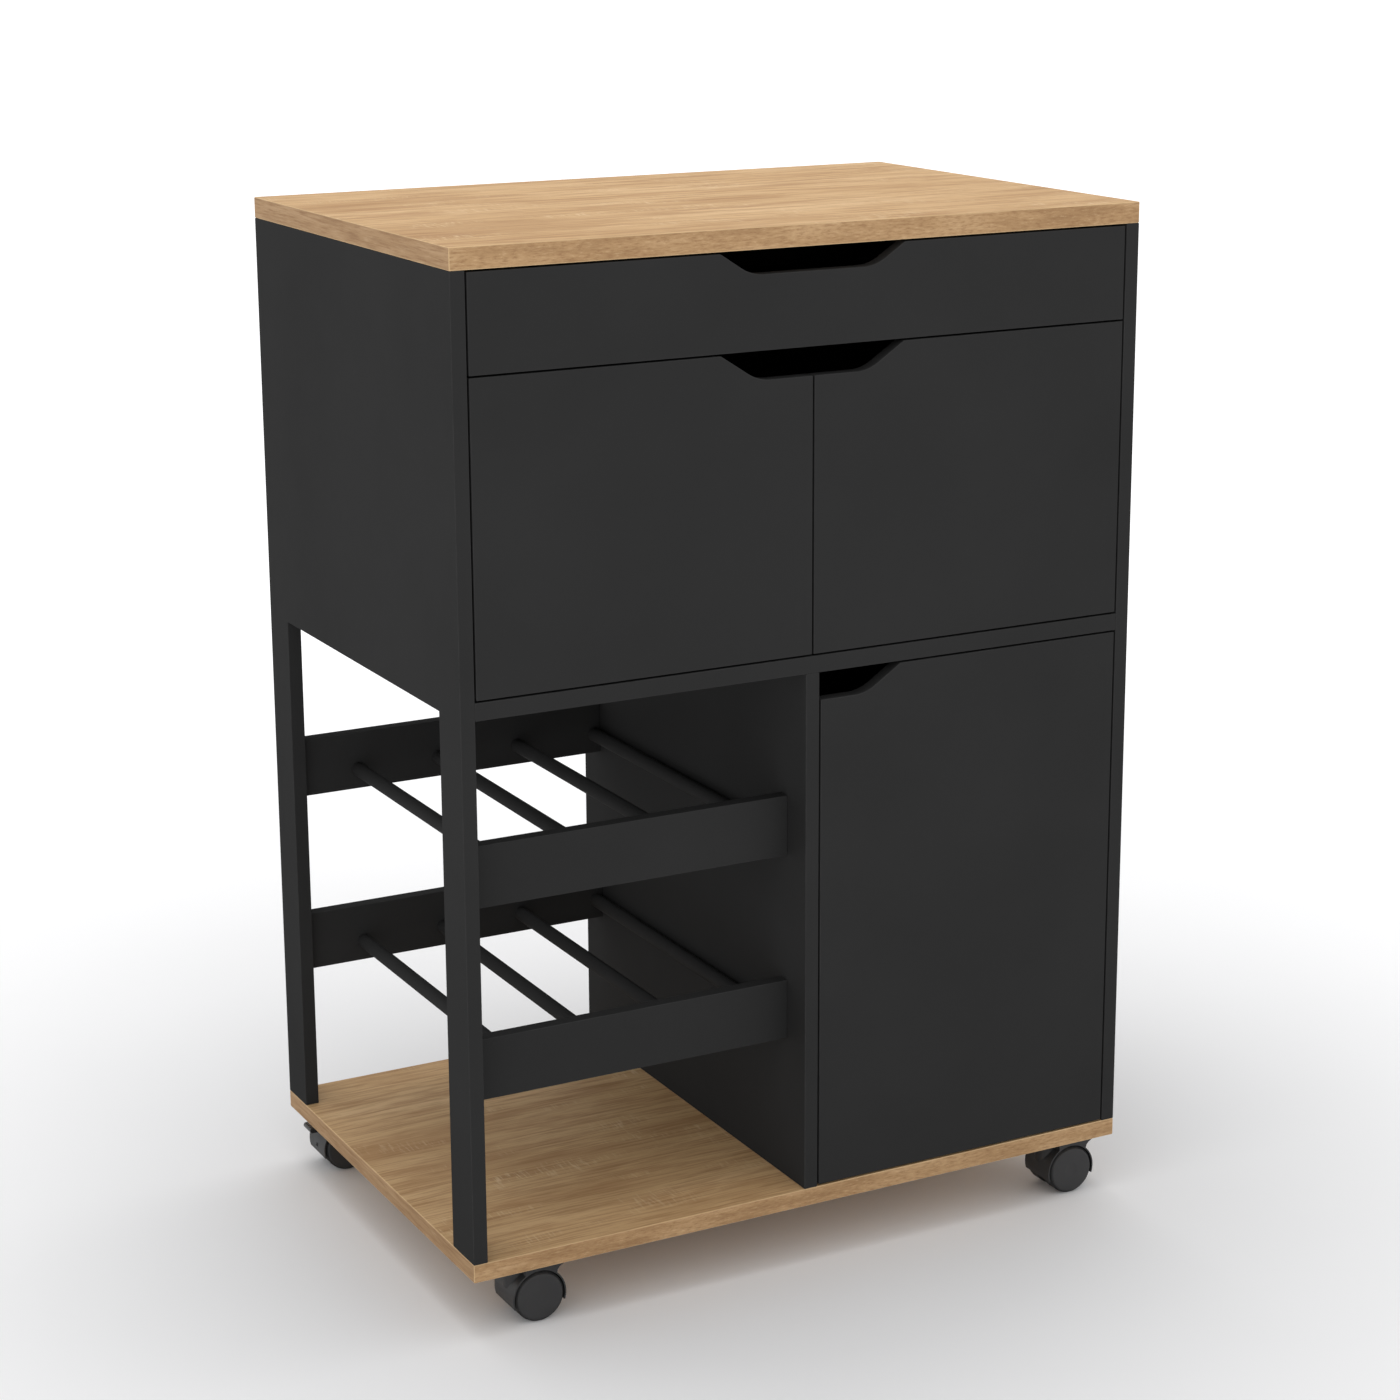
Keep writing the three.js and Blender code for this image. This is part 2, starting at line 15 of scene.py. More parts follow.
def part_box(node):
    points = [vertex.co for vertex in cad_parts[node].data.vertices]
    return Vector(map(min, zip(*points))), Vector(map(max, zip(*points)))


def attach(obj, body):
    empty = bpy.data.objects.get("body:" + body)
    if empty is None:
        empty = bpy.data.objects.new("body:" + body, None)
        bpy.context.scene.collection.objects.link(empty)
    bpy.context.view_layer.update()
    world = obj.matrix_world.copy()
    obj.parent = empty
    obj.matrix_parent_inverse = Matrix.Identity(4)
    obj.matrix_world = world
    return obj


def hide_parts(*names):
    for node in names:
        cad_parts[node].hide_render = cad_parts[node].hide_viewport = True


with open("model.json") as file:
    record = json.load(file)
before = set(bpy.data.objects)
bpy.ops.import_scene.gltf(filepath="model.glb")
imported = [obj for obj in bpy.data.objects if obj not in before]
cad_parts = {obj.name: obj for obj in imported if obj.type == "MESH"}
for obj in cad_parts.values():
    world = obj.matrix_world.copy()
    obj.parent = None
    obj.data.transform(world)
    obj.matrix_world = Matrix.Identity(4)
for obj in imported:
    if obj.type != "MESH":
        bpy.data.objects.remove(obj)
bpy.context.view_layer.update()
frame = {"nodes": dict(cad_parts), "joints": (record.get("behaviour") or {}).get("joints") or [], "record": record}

# ---- Sizes, in metres ------------------------------------------------------------------------

BOARD_ARRIS = 0.0007
OAK_ARRIS = 0.0009
METAL_ARRIS = 0.00025
NYLON_ARRIS = 0.0005
ROD_SEGMENTS = 40

CUP_SCREW_RISE = 0.0185  # cup screws above and below the cup's middle
CUP_SCREW_RADIUS = 0.0031
CUP_SCREW_PROUD = 0.0001
CUP_EAR_RADIUS = 0.0052
CUP_EAR_THICK = 0.001
CUP_EAR_FLARE = 0.001  # how far an ear's foot is wider than its round end
CUP_EAR_TUCK = 0.004  # how far an ear's foot reaches under the cup's rim

ARM_SCREW_RADIUS = 0.0026
ARM_SCREW_FACE = 0.0021  # screw faces in from the wall
WING_SCREW_RISE = 0.0085
WING_SCREW_BACK = 0.012  # in from the arm's far end
SETTING_SCREW_BACKS = (0.008, 0.026)  # in from the arm's far end

RUNNER_SCREW_RADIUS = 0.0028
RUNNER_SCREW_FACE = 0.0013  # screw faces off the back of the web
RUNNER_SCREW_SHARES = (0.1, 0.5, 0.9)  # along the runner

PLATE_SCREW_RADIUS = 0.0029
PLATE_SCREW_FACE = 0.00265  # screw faces below the board
PLATE_SCREW_INSET = 0.0045

RECESS_TURN = 23  # degrees that the first screw's recess is turned
RECESS_TURN_STEP = 31  # degrees more for each next screw

WHEEL_RADIUS = 0.021
WHEEL_NEAR = 0.004
WHEEL_FAR = 0.019
AXLE_RADIUS = 0.003
HOOD_RADIUS = 0.023
WHEEL_SEGMENTS = 72

CAMERA_PLACE = (-1.162, -2.203, 1.111)
CAMERA_YAW = 27.94
CAMERA_PITCH = 13.99
CAMERA_ROLL = -0.31
CAMERA_FOCAL_WIDTHS = 2.187857  # focal length over picture width
CAMERA_SHIFT = -0.05

HORIZON_STRENGTH = 1.0
ZENITH_STRENGTH = 0.76
FADE_FROM = 0.2
FADE_TO = 0.8
LIGHT_PLACE = (-0.1, 0.15, 3.3)
LIGHT_SIZE = 2.4
LIGHT_POWER = 27  # watts
FLOOR_SIZE = 60
GLOW_FROM, GLOW_FULL = 0.35, 2.2  # distances at which the floor starts to glow and glows fully
GLOW_STRENGTH = 0.5

SHARP_ANGLE = 40.0  # degrees; edges above it stay sharp when shaded
ROUNDED_ANGLE = 28.0  # degrees; edges above it get rounded

# Colour sockets of a Mix node, which holds sockets for numbers and vectors as well.
MIX_A, MIX_B, MIX_RESULT = 6, 7, 2

joints = {joint["name"]: joint for joint in frame["joints"]}
body_of_node = {
    node: body
    for body, nodes in frame["record"]["behaviour"]["bodies"].items()
    for node in nodes
}


# ---- Shader helpers --------------------------------------------------------------------------


def srgb(red, green, blue):
    """An 8-bit screen colour as a linear colour with alpha."""

    def linear(value):
        share = value / 255
        return share / 12.92 if share <= 0.04045 else ((share + 0.055) / 1.055) ** 2.4

    return (linear(red), linear(green), linear(blue), 1.0)


class Nodes:
    """Builds one material's node tree. Most methods add a node and return its output socket."""

    def __init__(self, name):
        self.material = bpy.data.materials.new(name)
        self.material.use_nodes = True
        self.tree = self.material.node_tree
        self.shader = self.tree.nodes["Principled BSDF"]
        self.place = self.tree.nodes.new("ShaderNodeTexCoord").outputs["Object"]

    def put(self, socket, value):
        """Links a socket to an input, or gives the input a plain value."""
        if isinstance(value, bpy.types.NodeSocket):
            self.tree.links.new(value, socket)
        else:
            socket.default_value = value

    def stretched(self, scale, place=None):
        node = self.tree.nodes.new("ShaderNodeMapping")
        self.put(node.inputs["Vector"], place or self.place)
        node.inputs["Scale"].default_value = scale
        return node.outputs["Vector"]

    def noise(self, scale, place=None, detail=3.0, roughness=0.5, size=1.0):
        node = self.tree.nodes.new("ShaderNodeTexNoise")
        self.put(node.inputs["Vector"], self.stretched(scale, place))
        node.inputs["Scale"].default_value = size
        node.inputs["Detail"].default_value = detail
        node.inputs["Roughness"].default_value = roughness
        return node.outputs["Fac"]

    def rings(self, scale, place, distortion):
        node = self.tree.nodes.new("ShaderNodeTexWave")
        node.wave_type = "RINGS"
        node.rings_direction = "Z"
        self.put(node.inputs["Vector"], self.stretched(scale, place))
        node.inputs["Scale"].default_value = 1.0
        node.inputs["Distortion"].default_value = distortion
        node.inputs["Detail"].default_value = 3.0
        return node.outputs["Fac"]

    def math(self, operation, first, second, clamp=False):
        node = self.tree.nodes.new("ShaderNodeMath")
        node.operation = operation
        node.use_clamp = clamp
        self.put(node.inputs[0], first)
        self.put(node.inputs[1], second)
        return node.outputs[0]

    def remap(self, value, low, high, to_low=0.0, to_high=1.0):
        node = self.tree.nodes.new("ShaderNodeMapRange")
        self.put(node.inputs["Value"], value)
        node.inputs["From Min"].default_value = low
        node.inputs["From Max"].default_value = high
        node.inputs["To Min"].default_value = to_low
        node.inputs["To Max"].default_value = to_high
        return node.outputs["Result"]

    def ramp(self, value, *stops):
        node = self.tree.nodes.new("ShaderNodeValToRGB")
        self.put(node.inputs["Fac"], value)
        elements = node.color_ramp.elements
        while len(elements) < len(stops):
            elements.new(0.5)
        for element, (position, colour) in zip(elements, stops):
            element.position = position
            element.color = colour
        return node.outputs["Color"]

    def mix(self, share, first, second, blend="MIX"):
        node = self.tree.nodes.new("ShaderNodeMix")
        node.data_type = "RGBA"
        node.blend_type = blend
        self.put(node.inputs[0], share)
        self.put(node.inputs[MIX_A], first)
        self.put(node.inputs[MIX_B], second)
        return node.outputs[MIX_RESULT]

    def warped(self, amount, scale):
        """The place moved about by a slow noise, so that straight grain wanders."""
        noise = self.tree.nodes.new("ShaderNodeTexNoise")
        self.put(noise.inputs["Vector"], self.stretched(scale))
        noise.inputs["Scale"].default_value = 1.0
        noise.inputs["Detail"].default_value = 2.0
        centred = self.tree.nodes.new("ShaderNodeVectorMath")
        centred.operation = "SUBTRACT"
        self.put(centred.inputs[0], noise.outputs["Color"])
        centred.inputs[1].default_value = (0.5, 0.5, 0.5)
        moved = self.tree.nodes.new("ShaderNodeVectorMath")
        moved.operation = "MULTIPLY_ADD"
        self.put(moved.inputs[0], centred.outputs[0])
        moved.inputs[1].default_value = amount
        self.put(moved.inputs[2], self.place)
        return moved.outputs[0]

    def wear_and_painted_highlight(self):
        """Wear and painted highlight at a point, from the layer that round_edges fills in."""
        node = self.tree.nodes.new("ShaderNodeAttribute")
        node.attribute_name = "wear_and_painted_highlight"
        return node.outputs["Fac"]

    def bump(self, height, strength, distance):
        """Bends the shader's normal by a height."""
        node = self.tree.nodes.new("ShaderNodeBump")
        node.inputs["Strength"].default_value = strength
        node.inputs["Distance"].default_value = distance
        self.put(node.inputs["Height"], height)
        self.put(self.shader.inputs["Normal"], node.outputs["Normal"])

    def set(self, **values):
        """Sets the shader's inputs by name, with _ for a space, and returns the material."""
        for name, value in values.items():
            self.put(self.shader.inputs[name.replace("_", " ")], value)
        return self.material


# ---- Materials -------------------------------------------------------------------------------


def make_oak_face():
    """Printed oak with its grain along X: soft clouds, short brown streaks, fine lines, saw marks."""
    oak = Nodes("oak_face")
    wavy = oak.warped((0.0, 0.016, 0.016), (2.6, 6.0, 6.0))
    clouds = oak.noise((2.6, 15.0, 15.0), wavy, detail=4.0, roughness=0.6)
    streaks = oak.noise((12.0, 130.0, 130.0), wavy, detail=4.0, roughness=0.66)
    browns = oak.noise((8.0, 42.0, 42.0), wavy, detail=3.0, roughness=0.55)
    lines = oak.noise((13.0, 360.0, 360.0), wavy, detail=4.0, roughness=0.65)
    pores = oak.noise((34.0, 900.0, 900.0), wavy, detail=2.0, roughness=0.5)
    base = oak.ramp(
        clouds,
        (0.30, srgb(182, 144, 100)),
        (0.50, srgb(203, 167, 122)),
        (0.70, srgb(215, 181, 137)),
    )
    browned = oak.mix(oak.remap(browns, 0.54, 0.70, 0.0, 0.6), base, srgb(167, 126, 84))
    streaked = oak.mix(oak.remap(streaks, 0.50, 0.66, 0.0, 0.6), browned, srgb(165, 124, 82))
    lined = oak.mix(oak.remap(lines, 0.48, 0.62, 0.0, 0.55), streaked, srgb(156, 117, 77))
    pored = oak.mix(oak.remap(pores, 0.58, 0.72, 0.0, 0.35), lined, srgb(140, 105, 68))
    saw = oak.noise((520.0, 60.0, 60.0), wavy, detail=2.0)
    patches = oak.noise((9.0, 26.0, 26.0), detail=2.0)
    marks = oak.math(
        "MULTIPLY",
        oak.remap(saw, 0.52, 0.66),
        oak.remap(patches, 0.53, 0.68, 0.0, 0.48),
        clamp=True,
    )
    scraped = oak.mix(marks, pored, srgb(232, 208, 171))
    # Lighter along the middle of each rounded arris: wear, with a painted highlight.
    worn_and_highlit = oak.mix(oak.math("MULTIPLY", oak.wear_and_painted_highlight(), 0.35), scraped, srgb(228, 202, 160))
    oak.bump(oak.math("SUBTRACT", lines, oak.math("MULTIPLY", pores, 0.5)), 0.25, 0.0004)
    return oak.set(
        Base_Color=worn_and_highlit,
        Roughness=oak.remap(lines, 0.3, 0.7, 0.60, 0.74),
        Specular_IOR_Level=0.15,
    )


def make_oak_end(name, along):
    """Edge band of an oak board: short flecks that run along X or along Y, with painted shade."""
    oak = Nodes(name)
    fleck_scale = {"x": (130.0, 130.0, 620.0), "y": (60.0, 30.0, 520.0)}[along]
    streak_scale = {"x": (14.0, 30.0, 150.0), "y": (30.0, 7.0, 190.0)}[along]
    # Painted shade: the bands along Y, on the board's left and right ends, are mixed 30% towards dark brown, the
    # bands along X 5%.
    painted_shade = {"x": 0.05, "y": 0.3}[along]
    flecks = oak.noise(fleck_scale, detail=4.0, roughness=0.7)
    streaks = oak.noise(streak_scale, detail=4.0, roughness=0.6)
    patches = oak.noise((11.0, 11.0, 40.0), detail=2.0)
    tone = oak.math("ADD", oak.math("MULTIPLY", streaks, 0.55), oak.math("MULTIPLY", patches, 0.45))
    base = oak.ramp(
        tone,
        (0.34, srgb(154, 120, 84)),
        (0.50, srgb(180, 145, 105)),
        (0.66, srgb(197, 163, 123)),
    )
    flecked = oak.mix(oak.remap(flecks, 0.49, 0.64, 0.0, 0.65), base, srgb(144, 108, 75))
    lit = oak.mix(oak.remap(flecks, 0.44, 0.30, 0.0, 0.5), flecked, srgb(214, 183, 143))
    # Mixes the painted shade into the band's colour.
    with_painted_shade = oak.mix(painted_shade, lit, srgb(112, 86, 64))
    # Lighter along the middle of each rounded arris: wear, with a painted highlight.
    worn_and_highlit = oak.mix(oak.math("MULTIPLY", oak.wear_and_painted_highlight(), 0.4), with_painted_shade, srgb(222, 193, 152))
    oak.bump(flecks, 0.2, 0.0003)
    return oak.set(
        Base_Color=worn_and_highlit,
        Roughness=oak.remap(flecks, 0.3, 0.7, 0.60, 0.74),
        Specular_IOR_Level=0.15,
    )


def make_dark_board():
    """Dark grey lacquer: faint clouding, a fine orange peel and arrises lighter from rubbing and a painted
    highlight.
    """
    board = Nodes("dark_lacquer")
    clouds = board.noise((6.0, 6.0, 6.0), detail=4.0, roughness=0.55)
    peel = board.noise((1300.0, 1300.0, 1300.0), detail=2.0)
    scuffs = board.noise((40.0, 40.0, 40.0), detail=4.0, roughness=0.7)
    base = board.ramp(clouds, (0.3, srgb(47, 47, 47)), (0.7, srgb(50, 50, 50)))
    grained = board.mix(board.remap(peel, 0.55, 0.75, 0.0, 0.3), base, srgb(56, 56, 56))
    # Arrises lighter from rubbing and a painted highlight, patchy with the scuffs.
    rubbed_and_highlit = board.math("MULTIPLY", board.wear_and_painted_highlight(), board.remap(scuffs, 0.35, 0.65, 0.15, 0.6))
    worn_and_highlit = board.mix(rubbed_and_highlit, grained, srgb(66, 66, 66))
    board.bump(peel, 0.12, 0.0002)
    return board.set(
        Base_Color=worn_and_highlit,
        Roughness=board.remap(scuffs, 0.3, 0.7, 0.54, 0.60),
        Specular_IOR_Level=0.004,
    )


def make_hardboard():
    """Back panels and drawer bottom: dark, matt, with pressed fibres."""
    board = Nodes("dark_hardboard")
    fibres = board.noise((240.0, 240.0, 240.0), detail=6.0, roughness=0.75)
    clouds = board.noise((14.0, 14.0, 14.0), detail=3.0)
    base = board.ramp(clouds, (0.3, srgb(42, 41, 40)), (0.7, srgb(50, 49, 47)))
    fibred = board.mix(board.remap(fibres, 0.52, 0.72, 0.0, 0.6), base, srgb(70, 67, 63))
    board.bump(fibres, 0.35, 0.0003)
    return board.set(
        Base_Color=fibred,
        Roughness=board.remap(fibres, 0.3, 0.7, 0.66, 0.84),
        Specular_IOR_Level=0.3,
    )


def make_zinc(name, light, dark):
    """Zinc-plated steel: rolled streaks and a faint spangle."""
    zinc = Nodes(name)
    rolled = zinc.noise((60.0, 700.0, 700.0), detail=3.0)
    spangle = zinc.noise((180.0, 180.0, 180.0), detail=3.0, roughness=0.6)
    base = zinc.mix(zinc.remap(spangle, 0.35, 0.65), dark, light)
    # Lighter along the middle of each rounded edge: wear, with a painted highlight.
    worn_and_highlit = zinc.mix(zinc.math("MULTIPLY", zinc.wear_and_painted_highlight(), 0.4), base, srgb(222, 224, 226))
    zinc.bump(rolled, 0.12, 0.0001)
    return zinc.set(
        Base_Color=worn_and_highlit,
        Metallic=1.0,
        Roughness=zinc.remap(spangle, 0.3, 0.7, 0.31, 0.38),
    )


def make_nylon(name, light, dark, low, high):
    """Moulded black plastic: fine spark-eroded grain, flow clouds and edges lightened by rubbing and a painted
    highlight.
    """
    nylon = Nodes(name)
    grain = nylon.noise((2200.0, 2200.0, 2200.0), detail=2.0)
    clouds = nylon.noise((90.0, 90.0, 90.0), detail=3.0)
    base = nylon.mix(nylon.remap(clouds, 0.35, 0.65), dark, light)
    # Lighter along the middle of each rounded edge: wear, with a painted highlight.
    worn_and_highlit = nylon.mix(nylon.math("MULTIPLY", nylon.wear_and_painted_highlight(), 0.35), base, srgb(78, 78, 80))
    nylon.bump(grain, 0.2, 0.00015)
    return nylon.set(
        Base_Color=worn_and_highlit,
        Roughness=nylon.remap(clouds, 0.3, 0.7, low, high),
        Specular_IOR_Level=0.45,
    )


def make_tread():
    """Wheel tread: softer black with dust in its pores."""
    tread = Nodes("tread_rubber")
    dust = tread.noise((160.0, 160.0, 160.0), detail=5.0, roughness=0.7)
    pores = tread.noise((1500.0, 1500.0, 1500.0), detail=2.0)
    base = tread.mix(tread.remap(dust, 0.52, 0.75, 0.0, 0.5), srgb(33, 33, 34), srgb(72, 71, 69))
    tread.bump(pores, 0.3, 0.0002)
    return tread.set(
        Base_Color=base,
        Roughness=tread.remap(dust, 0.3, 0.7, 0.62, 0.85),
        Specular_IOR_Level=0.3,
    )


OAK = [make_oak_face(), make_oak_end("oak_band_long", "x"), make_oak_end("oak_band_short", "y")]
DARK = [make_dark_board()]
HARDBOARD = [make_hardboard()]
ZINC = [make_zinc("zinc_plate", srgb(192, 195, 199), srgb(176, 179, 184))]
SCREW = [make_zinc("screw_zinc", srgb(176, 178, 182), srgb(132, 134, 138))]
NYLON = [make_nylon("black_nylon", srgb(41, 41, 42), srgb(35, 35, 36), 0.42, 0.56)]
GLOSSY_NYLON = [make_nylon("brake_nylon", srgb(30, 30, 31), srgb(24, 24, 25), 0.22, 0.34)]
WHEEL = [make_nylon("wheel_disc", srgb(45, 45, 46), srgb(40, 40, 41), 0.46, 0.6), make_tread()]


# ---- Mesh helpers ----------------------------------------------------------------------------


def round_edges(work, width, segments=3):
    """Rounds every edge sharper than ROUNDED_ANGLE; marks round middles for wear and painted highlight."""
    wear_and_painted_highlight = work.verts.layers.float.new("wear_and_painted_highlight")
    sharp = [
        edge
        for edge in work.edges
        if len(edge.link_faces) == 2 and edge.calc_face_angle() > math.radians(ROUNDED_ANGLE)
    ]
    made = bmesh.ops.bevel(
        work,
        geom=sharp,
        offset=width,
        segments=segments,
        profile=0.5,
        affect="EDGES",
        clamp_overlap=True,
    )
    # Marks each round's middle, which the materials paint lighter: partly wear, partly a painted highlight along
    # the arris.
    rounds = set(made["faces"])
    for vert in {vert for face in rounds for vert in face.verts}:
        if all(face in rounds for face in vert.link_faces):
            vert[wear_and_painted_highlight] = 1.0


def place_piece(name, work, materials, body, node=None):
    """Turns a mesh in the making into a piece that rides on a body."""
    bmesh.ops.recalc_face_normals(work, faces=work.faces)
    mesh = bpy.data.meshes.new(name)
    work.to_mesh(mesh)
    work.free()
    for material in materials:
        mesh.materials.append(material)
    mesh.shade_smooth()
    mesh.set_sharp_from_angle(angle=math.radians(SHARP_ANGLE))
    made = bpy.data.objects.new(name, mesh)
    bpy.context.scene.collection.objects.link(made)
    evener = made.modifiers.new("even_normals", "WEIGHTED_NORMAL")
    evener.keep_sharp = True
    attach(made, body)
    if node:
        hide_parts(node)


def copy_of(node):
    """A CAD node's mesh, welded, with its flat faces made whole."""
    work = bmesh.new()
    work.from_mesh(frame["nodes"][node].data)
    for face in work.faces:
        face.material_index = 0
    bmesh.ops.remove_doubles(work, verts=work.verts, dist=1e-6)
    bmesh.ops.dissolve_limit(
        work,
        angle_limit=math.radians(0.5),
        use_dissolve_boundaries=False,
        verts=work.verts,
        edges=work.edges,
    )
    return work


def soften(node, materials, width, segments=3):
    """A CAD node's stand-in: the same solid with rounded edges and its materials."""
    work = copy_of(node)
    round_edges(work, width, segments)
    place_piece(f"{node}_look", work, materials, body_of_node[node], node)


def lathe(profile, segments, materials_at=None):
    """Spins a closed (radius, height) profile round Z. Points on the axis close it."""
    work = bmesh.new()
    rings = []
    for radius, height in profile:
        if radius == 0:
            rings.append([work.verts.new((0, 0, height))] * segments)
            continue
        turns = [2 * math.pi * step / segments for step in range(segments)]
        rings.append(
            [work.verts.new((radius * math.cos(a), radius * math.sin(a), height)) for a in turns]
        )
    for index, (low, high) in enumerate(zip(rings, rings[1:])):
        for step in range(segments):
            following = (step + 1) % segments
            corners = [low[step], low[following], high[following], high[step]]
            face = work.faces.new(list(dict.fromkeys(corners)))
            face.material_index = materials_at[index] if materials_at else 0
    return work


def merge(work, other, matrix):
    """Adds a moved copy of another mesh in the making to this one."""
    mesh = bpy.data.meshes.new("merging")
    other.to_mesh(mesh)
    mesh.transform(matrix)
    work.from_mesh(mesh)
    bpy.data.meshes.remove(mesh)


def prism(outline, low, high):
    """A closed outline in XZ made solid from y = low to y = high."""
    work = bmesh.new()
    near = [work.verts.new((x, low, z)) for x, z in outline]
    far = [work.verts.new((x, high, z)) for x, z in outline]
    work.faces.new(near)
    work.faces.new(list(reversed(far)))
    for step in range(len(outline)):
        following = (step + 1) % len(outline)
        work.faces.new([near[following], near[step], far[step], far[following]])
    return work


def arc(centre, radius, start, end, steps):
    """Points on an arc, angles in degrees."""
    angles = [math.radians(start + (end - start) * step / steps) for step in range(steps + 1)]
    return [(centre[0] + radius * math.cos(a), centre[1] + radius * math.sin(a)) for a in angles]


# ---- Screws ----------------------------------------------------------------------------------


def screw_head(radius):
    """A countersunk head with a cross recess, its face at z = 0, looking along +Z."""
    rim_count = 24
    arm, half = radius * 0.55, radius * 0.13
    cross = []
    for quarter in range(4):
        turn = Matrix.Rotation(quarter * math.pi / 2, 2)
        for corner in (Vector((arm, -half)), Vector((arm, half)), Vector((half, half))):
            cross.append(turn @ corner)
    work = bmesh.new()
    rim = [
        work.verts.new((radius * math.cos(a), radius * math.sin(a), 0))
        for a in (2 * math.pi * step / rim_count for step in range(rim_count))
    ]
    skirt = [work.verts.new((v.co.x * 1.05, v.co.y * 1.05, -radius * 0.12)) for v in rim]
    mouth = [work.verts.new((p.x, p.y, -radius * 0.03)) for p in cross]
    floor = [work.verts.new((p.x * 0.6, p.y * 0.6, -radius * 0.5)) for p in cross]
    for ring, other in ((skirt, rim), (mouth, floor)):
        for step in range(len(ring)):
            following = (step + 1) % len(ring)
            work.faces.new([ring[step], ring[following], other[following], other[step]])
    loops = [
        work.edges.get((ring[step], ring[(step + 1) % len(ring)]))
        for ring in (rim, mouth)
        for step in range(len(ring))
    ]
    bmesh.ops.bridge_loops(work, edges=loops)
    work.faces.new(floor)
    work.verts.layers.float.new("wear_and_painted_highlight")
    return work


def screws(name, spots, radius, body):
    """One piece that holds several screw heads. Each spot is (place, direction the head faces)."""
    work = bmesh.new()
    head = screw_head(radius)
    for index, (place, facing) in enumerate(spots):
        turn = Vector((0, 0, 1)).rotation_difference(Vector(facing)).to_matrix().to_4x4()
        spin = Matrix.Rotation(math.radians(RECESS_TURN + RECESS_TURN_STEP * index), 4, "Z")
        merge(work, head, Matrix.Translation(place) @ turn @ spin)
    head.free()
    place_piece(name, work, SCREW, body)


# ---- Boards, fronts and racks ----------------------------------------------------------------


def make_oak_board(node):
    """Oak board with its grain on the flat faces and bands on its four edges."""
    work = copy_of(node)
    round_edges(work, OAK_ARRIS)
    # The short band, on the faces at the board's left and right ends, carries more painted shade than the long
    # band.
    for face in work.faces:
        across, deep, up = (abs(part) for part in face.normal)
        if deep > max(up, across):
            face.material_index = 1
        elif across > max(up, deep):
            face.material_index = 2
    place_piece(f"{node}_look", work, OAK, body_of_node[node], node)


def make_rod(node):
    """Rack rod with eased ends, spun about its own axis."""
    low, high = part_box(node)
    radius = (high.x - low.x) / 2
    length = high.y - low.y
    ease = 0.0006
    profile = [
        (0, 0),
        (radius - ease, 0),
        (radius, ease),
        (radius, length - ease),
        (radius - ease, length),
        (0, length),
    ]
    work = lathe(profile, ROD_SEGMENTS)
    work.verts.layers.float.new("wear_and_painted_highlight")
    middle = (low + high) / 2
    onto_y = Matrix.Rotation(-math.pi / 2, 4, "X")
    work.transform(Matrix.Translation((middle.x, low.y, middle.z)) @ onto_y)
    place_piece(f"{node}_look", work, DARK, "carcass", node)


def make_boards():
    """Oak boards, hardboard panels, dark boards and the rods of the racks."""
    for node in ("worktop", "base_board"):
        make_oak_board(node)
    for node in ("upper_back_panel", "lower_back_panel", "drawer_bottom"):
        soften(node, HARDBOARD, METAL_ARRIS)
    slot_of = {part["node"]: part["material_slot"] for part in frame["record"]["subparts"]}
    for node in sorted(frame["nodes"]):
        if slot_of[node] != "dark_board":
            continue
        if "_rod_" in node:
            make_rod(node)
        else:
            soften(node, DARK, BOARD_ARRIS)


# ---- Hinges and runners ----------------------------------------------------------------------


def make_cup_plate(node, body, pin):
    """The strip that holds a hinge cup to the door: two rounded ears, above and below the cup."""
    low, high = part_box(node)
    cup_radius = (high.x - low.x) / 2
    back = high.y
    for sign, end in ((1, "upper"), (-1, "lower")):
        ear = arc((0, CUP_SCREW_RISE), CUP_EAR_RADIUS, 0, 180, 16)
        foot = cup_radius - CUP_EAR_TUCK
        half = CUP_EAR_RADIUS + CUP_EAR_FLARE
        outline = [(half, foot), *ear, (-half, foot)]
        outline = [(pin.x + x, pin.z + sign * z) for x, z in outline]
        work = prism(outline, back - CUP_EAR_THICK, back)
        bmesh.ops.recalc_face_normals(work, faces=work.faces)
        round_edges(work, METAL_ARRIS, 2)
        place_piece(f"{node}_{end}_ear", work, ZINC, body)
    face = back + CUP_SCREW_PROUD
    spots = [((pin.x, face, pin.z + sign * CUP_SCREW_RISE), (0, 1, 0)) for sign in (1, -1)]
    screws(f"{node}_screws", spots, CUP_SCREW_RADIUS, body)


def make_arm_screws(node):
    """Two screws in the arm's wings and two setting screws along the arm."""
    low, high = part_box(node)
    on_left = low.x < 0
    inward = 1 if on_left else -1
    wall = low.x if on_left else high.x
    face = wall + inward * ARM_SCREW_FACE
    height = (low.z + high.z) / 2
    wing_y = high.y - WING_SCREW_BACK
    spots = [((face, wing_y, height + s * WING_SCREW_RISE), (inward, 0, 0)) for s in (1, -1)]
    spots += [((face, high.y - back, height), (inward, 0, 0)) for back in SETTING_SCREW_BACKS]
    screws(f"{node}_screws", spots, ARM_SCREW_RADIUS, "carcass")


def make_hinges():
    """Cup, ears, arm and screws of the two hinges on every door."""
    for door in ("upper_left", "upper_right", "lower"):
        joint = joints[f"{door}_door_hinge"]
        for level in ("top", "bottom"):
            cup, arm = f"{door}_{level}_hinge_cup", f"{door}_{level}_hinge_arm"
            low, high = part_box(cup)
            pin = Vector((joint["pos_m"][0], joint["pos_m"][1], (low.z + high.z) / 2))
            soften(cup, ZINC, METAL_ARRIS, 2)
            make_cup_plate(cup, f"{door}_door", pin)
            soften(arm, ZINC, METAL_ARRIS, 2)
            make_arm_screws(arm)


